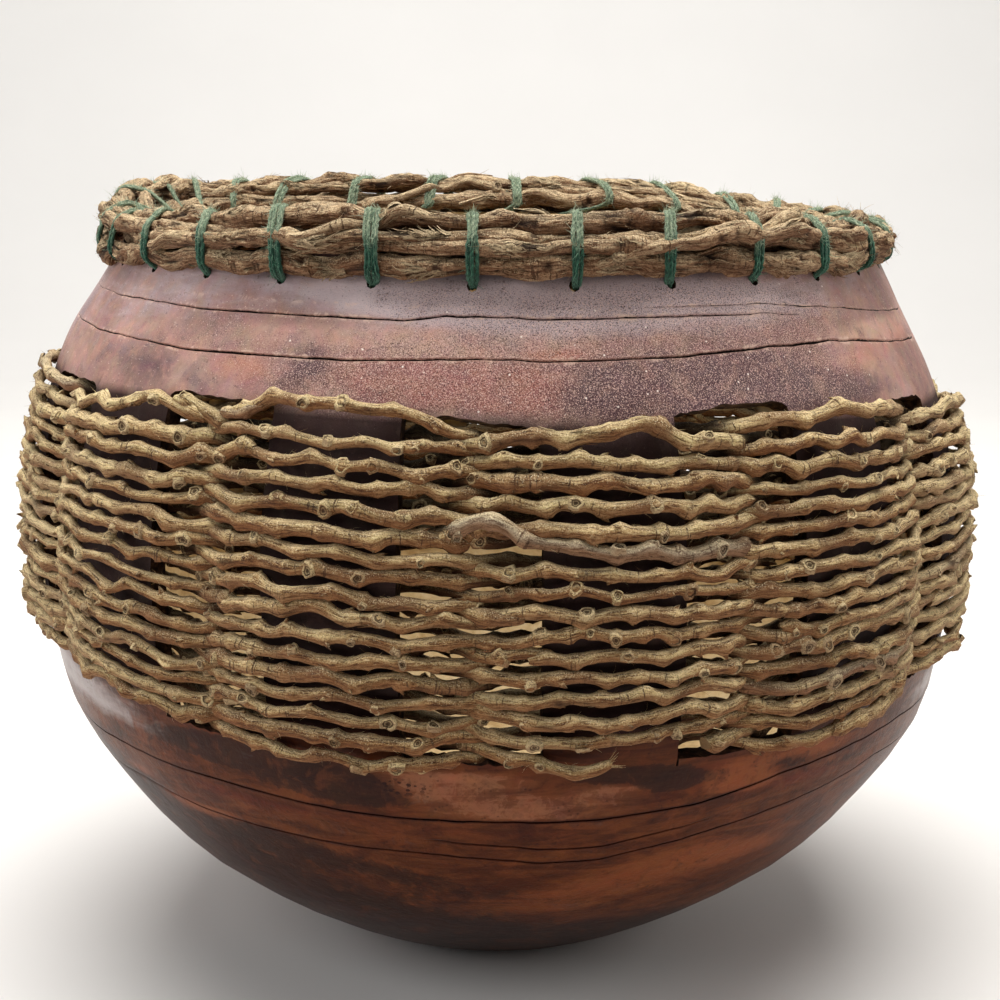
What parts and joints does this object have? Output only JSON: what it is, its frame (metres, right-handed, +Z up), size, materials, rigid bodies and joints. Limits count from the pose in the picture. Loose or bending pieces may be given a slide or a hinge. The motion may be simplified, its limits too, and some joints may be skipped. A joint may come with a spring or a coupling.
{
  "type": "gourd basket",
  "caption": "Round bowl basket made from a hard-shelled gourd, with twig weavers woven through sawn windows round its middle and a vine rim lashed on with yarn.",
  "frame": {"origin": "centre of the flat foot, on the surface that the basket stands on", "axes": "+Z up through the mouth, along the gourd's axis; -Y is the side that faces the camera in the picture"},
  "size_m": [0.303, 0.303, 0.2435],
  "materials": {
    "gourd_skin": "stained and waxed gourd skin, satin above and glossier below, with cracks, blotches and fine pale specks",
    "weaver_bark": "dry vine bark, matte, wrinkled, with knots and bud scars",
    "rim_bark": "rough shaggy vine bark, matte",
    "green_yarn": "fuzzy woollen yarn, faded where it crosses the top of the rim"
  },
  "bodies": {
    "root": {"gourd_shell": "gourd_skin", "weaver_01": "weaver_bark", "weaver_02": "weaver_bark", "weaver_03": "weaver_bark", "weaver_04": "weaver_bark", "weaver_05": "weaver_bark", "weaver_06": "weaver_bark", "weaver_07": "weaver_bark", "weaver_08": "weaver_bark", "weaver_09": "weaver_bark", "weaver_10": "weaver_bark", "weaver_11": "weaver_bark", "weaver_12": "weaver_bark", "weaver_13": "weaver_bark", "weaver_14": "weaver_bark", "weaver_15": "weaver_bark", "weaver_16": "weaver_bark", "weaver_17": "weaver_bark", "weaver_18": "weaver_bark", "weaver_19": "weaver_bark", "weaver_20": "weaver_bark", "weaver_21": "weaver_bark", "weaver_22": "weaver_bark", "weaver_23": "weaver_bark", "weaver_24": "weaver_bark", "weaver_25": "weaver_bark", "weaver_26": "weaver_bark", "weaver_27": "weaver_bark", "weaver_28": "weaver_bark", "weaver_29": "weaver_bark", "weaver_30": "weaver_bark", "weaver_31": "weaver_bark", "weaver_32": "weaver_bark", "weaver_33": "weaver_bark", "rim_vine_1": "rim_bark", "rim_vine_2": "rim_bark", "rim_vine_3": "rim_bark", "rim_vine_4": "rim_bark", "rim_vine_5": "rim_bark", "rim_vine_6": "rim_bark", "lashing_yarn": "green_yarn"}
  },
  "joints": []
}
